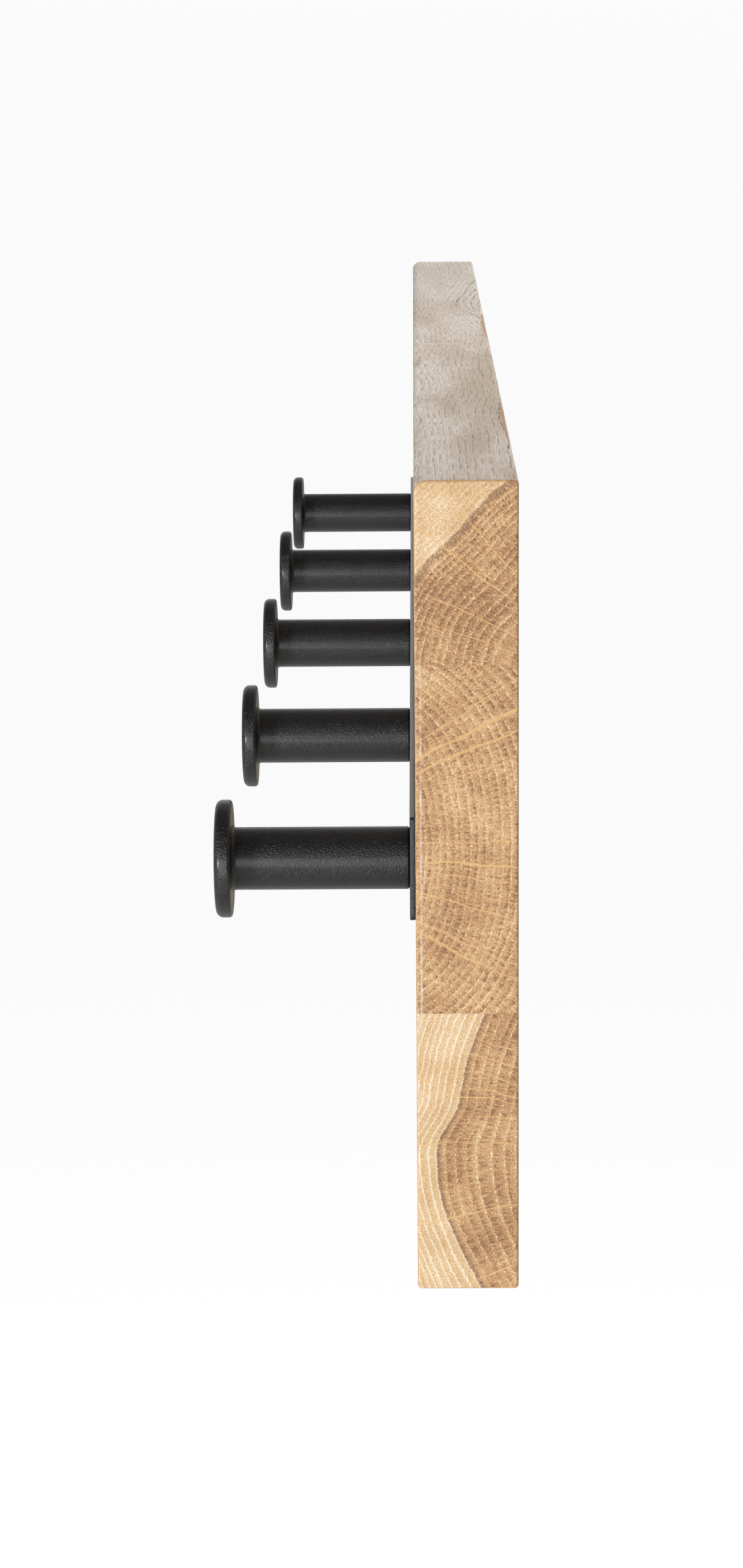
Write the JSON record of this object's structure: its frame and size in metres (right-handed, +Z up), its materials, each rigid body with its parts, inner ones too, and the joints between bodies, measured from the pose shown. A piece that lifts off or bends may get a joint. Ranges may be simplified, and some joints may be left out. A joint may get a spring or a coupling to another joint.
{
  "type": "wall hook rack",
  "caption": "Solid oak wall board with a flat black steel strip along its front and a row of black round-headed coat pegs screwed through it.",
  "frame": {"origin": "centre of the board's flat back face, which lies on the wall", "axes": "+X along the board, +Y into the wall so that the pegs point to -Y, +Z up"},
  "size_m": [0.72, 0.0785, 0.21],
  "materials": {
    "oak": "planed and oiled, satin",
    "black_powder_coat": "fine-textured matt powder coat",
    "zinc_steel": "bright zinc plated"
  },
  "bodies": {
    "root": {"board_stave_top": "oak", "board_stave_middle": "oak", "board_stave_bottom": "oak", "mounting_strip": "black_powder_coat", "peg_1": "black_powder_coat", "peg_2": "black_powder_coat", "peg_3": "black_powder_coat", "peg_4": "black_powder_coat", "peg_5": "black_powder_coat", "peg_bolt_1": "zinc_steel", "peg_bolt_2": "zinc_steel", "peg_bolt_3": "zinc_steel", "peg_bolt_4": "zinc_steel", "peg_bolt_5": "zinc_steel", "keyhole_plate_left": "zinc_steel", "keyhole_plate_right": "zinc_steel", "plate_screw_left_outer": "zinc_steel", "plate_screw_left_inner": "zinc_steel", "plate_screw_right_outer": "zinc_steel", "plate_screw_right_inner": "zinc_steel"}
  },
  "joints": []
}
